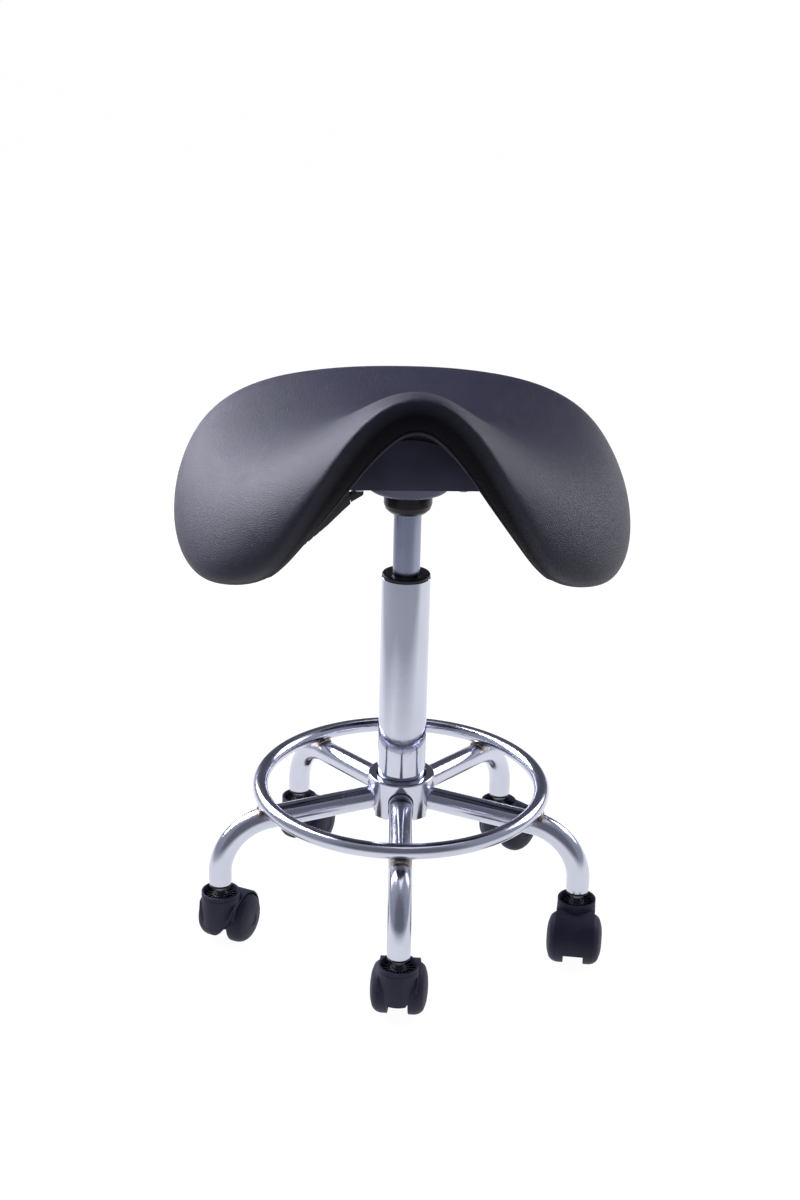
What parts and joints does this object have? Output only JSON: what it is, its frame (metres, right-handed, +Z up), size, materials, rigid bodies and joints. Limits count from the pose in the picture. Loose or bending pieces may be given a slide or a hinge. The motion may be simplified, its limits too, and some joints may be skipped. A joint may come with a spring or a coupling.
{
  "type": "saddle stool",
  "caption": "Height-adjustable saddle stool with a drooping moulded seat, gas lift, star base of bent tubes, foot ring and twin-wheel castors.",
  "frame": {"origin": "on the floor, at the middle of the stool's bounding box, within 3 mm of the column's axis", "axes": "+Z up along the column; the seat's pommel points to -Y, the sitter faces -Y and sits with the lift lever under the right hand at -X"},
  "size_m": [0.4684, 0.4293, 0.6281],
  "materials": {
    "seat_skin": "satin",
    "seat_board": "matte",
    "mount_plate": "satin",
    "gloss_black": "satin",
    "black_plastic": "satin",
    "lever_bar": "satin",
    "chrome": "polished",
    "castor_nylon": "satin",
    "steel": "satin"
  },
  "bodies": {
    "base": {"outer_column": "chrome", "guide_bush": "black_plastic", "base_hub": "chrome", "thrust_bearing": "steel", "foot_ring": "chrome", "leg_1": "chrome", "leg_2": "chrome", "leg_3": "chrome", "leg_4": "chrome", "leg_5": "chrome", "leg_insert_1": "black_plastic", "leg_insert_2": "black_plastic", "leg_insert_3": "black_plastic", "leg_insert_4": "black_plastic", "leg_insert_5": "black_plastic", "castor_stem_1": "steel", "castor_stem_2": "steel", "castor_stem_3": "steel", "castor_stem_4": "steel", "castor_stem_5": "steel"},
    "lift_rod": {"piston_rod": "steel", "piston": "black_plastic", "bump_stop": "black_plastic", "rod_clip": "steel"},
    "seat": {"saddle_seat": "seat_skin", "seat_board": "seat_board", "mount_plate": "mount_plate", "cone_socket": "steel", "socket_cover": "gloss_black", "lever_pivot_pin": "steel", "pressure_tube": "steel", "tube_gland": "black_plastic", "plate_bolt_1": "steel", "plate_bolt_2": "steel", "plate_bolt_3": "steel", "plate_bolt_4": "steel"},
    "lever": {"lift_lever": "lever_bar", "lever_grip": "black_plastic"},
    "release_pin": {"release_pin": "steel"},
    "castor_1": {"castor_1_housing": "castor_nylon", "castor_1_axle": "steel"},
    "castor_1_wheel_left": {"castor_1_wheel_left": "castor_nylon"},
    "castor_1_wheel_right": {"castor_1_wheel_right": "castor_nylon"},
    "castor_2": {"castor_2_housing": "castor_nylon", "castor_2_axle": "steel"},
    "castor_2_wheel_left": {"castor_2_wheel_left": "castor_nylon"},
    "castor_2_wheel_right": {"castor_2_wheel_right": "castor_nylon"},
    "castor_3": {"castor_3_housing": "castor_nylon", "castor_3_axle": "steel"},
    "castor_3_wheel_left": {"castor_3_wheel_left": "castor_nylon"},
    "castor_3_wheel_right": {"castor_3_wheel_right": "castor_nylon"},
    "castor_4": {"castor_4_housing": "castor_nylon", "castor_4_axle": "steel"},
    "castor_4_wheel_left": {"castor_4_wheel_left": "castor_nylon"},
    "castor_4_wheel_right": {"castor_4_wheel_right": "castor_nylon"},
    "castor_5": {"castor_5_housing": "castor_nylon", "castor_5_axle": "steel"},
    "castor_5_wheel_left": {"castor_5_wheel_left": "castor_nylon"},
    "castor_5_wheel_right": {"castor_5_wheel_right": "castor_nylon"}
  },
  "joints": [
    {"name": "seat_swivel", "type": "hinge", "parent": "base", "child": "lift_rod", "pos_m": [0, 0, 0.1361], "axis": [0, 0, 1], "continuous": true},
    {"name": "seat_lift", "type": "slide", "parent": "lift_rod", "child": "seat", "axis": [0, 0, 1], "range_m": [-0.055, 0.06]},
    {"name": "lever_press", "type": "hinge", "parent": "seat", "child": "lever", "pos_m": [-0.027, 0, 0.5108], "axis": [0, 1, 0], "range_deg": [0, 5], "stiffness_Nm_per_rad": 2},
    {"name": "release_press", "type": "slide", "parent": "seat", "child": "release_pin", "axis": [0, 0, -1], "range_m": [0, 0.0024]},
    {"name": "castor_1_swivel", "type": "hinge", "parent": "base", "child": "castor_1", "pos_m": [-0.0082, -0.19563, 0.0637], "axis": [0, 0, 1], "continuous": true},
    {"name": "castor_1_roll_left", "type": "hinge", "parent": "castor_1", "child": "castor_1_wheel_left", "pos_m": [-0.00601, -0.17776, 0.0265], "axis": [-0.9925, 0.1219, 0], "continuous": true},
    {"name": "castor_1_roll_right", "type": "hinge", "parent": "castor_1", "child": "castor_1_wheel_right", "pos_m": [-0.00601, -0.17776, 0.0265], "axis": [-0.9925, 0.1219, 0], "continuous": true},
    {"name": "castor_2_swivel", "type": "hinge", "parent": "base", "child": "castor_2", "pos_m": [0.18352, -0.06825, 0.0637], "axis": [0, 0, 1], "continuous": true},
    {"name": "castor_2_roll_left", "type": "hinge", "parent": "castor_2", "child": "castor_2_wheel_left", "pos_m": [0.18055, -0.086, 0.0265], "axis": [0.9863, -0.165, 0], "continuous": true},
    {"name": "castor_2_roll_right", "type": "hinge", "parent": "castor_2", "child": "castor_2_wheel_right", "pos_m": [0.18055, -0.086, 0.0265], "axis": [0.9863, -0.165, 0], "continuous": true},
    {"name": "castor_3_swivel", "type": "hinge", "parent": "base", "child": "castor_3", "pos_m": [0.12162, 0.15345, 0.0637], "axis": [0, 0, 1], "continuous": true},
    {"name": "castor_3_roll_left", "type": "hinge", "parent": "castor_3", "child": "castor_3_wheel_left", "pos_m": [0.13478, 0.16572, 0.0265], "axis": [-0.682, 0.7314, 0], "continuous": true},
    {"name": "castor_3_roll_right", "type": "hinge", "parent": "castor_3", "child": "castor_3_wheel_right", "pos_m": [0.13478, 0.16572, 0.0265], "axis": [-0.682, 0.7314, 0], "continuous": true},
    {"name": "castor_4_swivel", "type": "hinge", "parent": "base", "child": "castor_4", "pos_m": [-0.10835, 0.16309, 0.0637], "axis": [0, 0, 1], "continuous": true},
    {"name": "castor_4_roll_left", "type": "hinge", "parent": "castor_4", "child": "castor_4_wheel_left", "pos_m": [-0.09908, 0.17852, 0.0265], "axis": [-0.8572, 0.515, 0], "continuous": true},
    {"name": "castor_4_roll_right", "type": "hinge", "parent": "castor_4", "child": "castor_4_wheel_right", "pos_m": [-0.09908, 0.17852, 0.0265], "axis": [-0.8572, 0.515, 0], "continuous": true},
    {"name": "castor_5_swivel", "type": "hinge", "parent": "base", "child": "castor_5", "pos_m": [-0.18859, -0.05266, 0.0637], "axis": [0, 0, 1], "continuous": true},
    {"name": "castor_5_roll_left", "type": "hinge", "parent": "castor_5", "child": "castor_5_wheel_left", "pos_m": [-0.18041, -0.03662, 0.0265], "axis": [-0.891, 0.454, 0], "continuous": true},
    {"name": "castor_5_roll_right", "type": "hinge", "parent": "castor_5", "child": "castor_5_wheel_right", "pos_m": [-0.18041, -0.03662, 0.0265], "axis": [-0.891, 0.454, 0], "continuous": true}
  ],
  "couplings": [
    {"joint": "release_press", "follows": "lever_press", "m_per_rad": 0.027}
  ]
}
